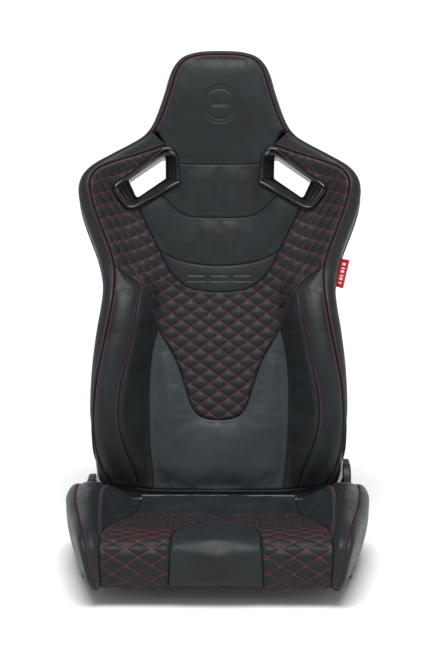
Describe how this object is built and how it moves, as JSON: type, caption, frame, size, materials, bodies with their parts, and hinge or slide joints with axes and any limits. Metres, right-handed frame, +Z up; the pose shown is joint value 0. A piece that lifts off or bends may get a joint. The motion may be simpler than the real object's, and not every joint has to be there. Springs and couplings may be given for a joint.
{
  "type": "racing seat",
  "caption": "Reclining bucket seat with quilted leatherette, high bolsters, built-in headrest and two harness slots on a bolt-down base.",
  "frame": {"origin": "centre of the four mounting holes, on the underside of the base rails", "axes": "+X to the sitter's left, which is the viewer's right from in front; the seat faces -Y; +Z up"},
  "size_m": [0.5342, 0.8224, 0.883],
  "materials": {
    "leatherette": "satin black leatherette with fine grain and red stitching, over moulded foam",
    "back_cover": "black leatherette over a moulded back shell",
    "gloss_trim": "gloss black moulding",
    "moulded_trim": "fine-textured black moulding",
    "tag_fabric": "woven red label",
    "spring_steel": "oiled spring wire",
    "nylon_clip": "natural nylon",
    "zinc_steel": "bright zinc plate",
    "black_fastener": "black oxide",
    "frame_paint": "satin black powder coat"
  },
  "bodies": {
    "base": {"base_front_tube": "frame_paint", "base_rail_left": "frame_paint", "base_rail_right": "frame_paint", "base_rear_tube": "frame_paint", "base_side_plate_left": "frame_paint", "base_side_plate_right": "frame_paint", "bracket_bolts": "black_fastener", "bracket_nuts": "zinc_steel", "cover_screws": "black_fastener", "cushion_bolster_left": "leatherette", "cushion_bolster_right": "leatherette", "cushion_pad": "leatherette", "lever_return_spring": "spring_steel", "recliner_bracket_left": "zinc_steel", "recliner_bracket_right": "zinc_steel", "recliner_cover_left": "moulded_trim", "recliner_cover_right": "moulded_trim", "recliner_fixed_disc_left": "zinc_steel", "recliner_fixed_disc_right": "zinc_steel", "seat_spring_clips": "nylon_clip", "seat_springs": "spring_steel", "weld_nuts": "zinc_steel"},
    "back": {"arm_bolts": "zinc_steel", "arm_nuts": "zinc_steel", "back_arm_left": "zinc_steel", "back_arm_right": "zinc_steel", "back_bolster_left": "leatherette", "back_bolster_right": "leatherette", "back_frame_hoop": "frame_paint", "back_lower_cross_tube": "frame_paint", "back_pad_centre": "leatherette", "back_shell": "back_cover", "back_spring_clips": "nylon_clip", "back_springs": "spring_steel", "back_upper_cross_tube": "frame_paint", "harness_bezel_left": "gloss_trim", "harness_bezel_right": "gloss_trim", "headrest_pad": "leatherette", "headrest_plate": "frame_paint", "rear_bezel_left": "gloss_trim", "rear_bezel_right": "gloss_trim", "recliner_moving_disc_left": "zinc_steel", "recliner_moving_disc_right": "zinc_steel", "shoulder_rim_left": "leatherette", "shoulder_rim_right": "leatherette", "shoulder_wing_left": "leatherette", "shoulder_wing_right": "leatherette", "side_tag": "tag_fabric", "upper_back_pad": "leatherette"},
    "lever": {"recliner_shaft": "black_fastener", "release_lever": "zinc_steel", "lever_grip": "moulded_trim", "lever_nut": "zinc_steel"}
  },
  "joints": [
    {"name": "recline", "type": "hinge", "parent": "base", "child": "back", "pos_m": [0, 0.205, 0.062], "axis": [-1, 0, 0], "range_deg": [-34, 65]},
    {"name": "release_lever_pull", "type": "hinge", "parent": "base", "child": "lever", "pos_m": [0.2495, 0.205, 0.062], "axis": [-1, 0, 0], "range_deg": [0, 28], "stiffness_Nm_per_rad": 2, "springref_deg": -14.32}
  ]
}
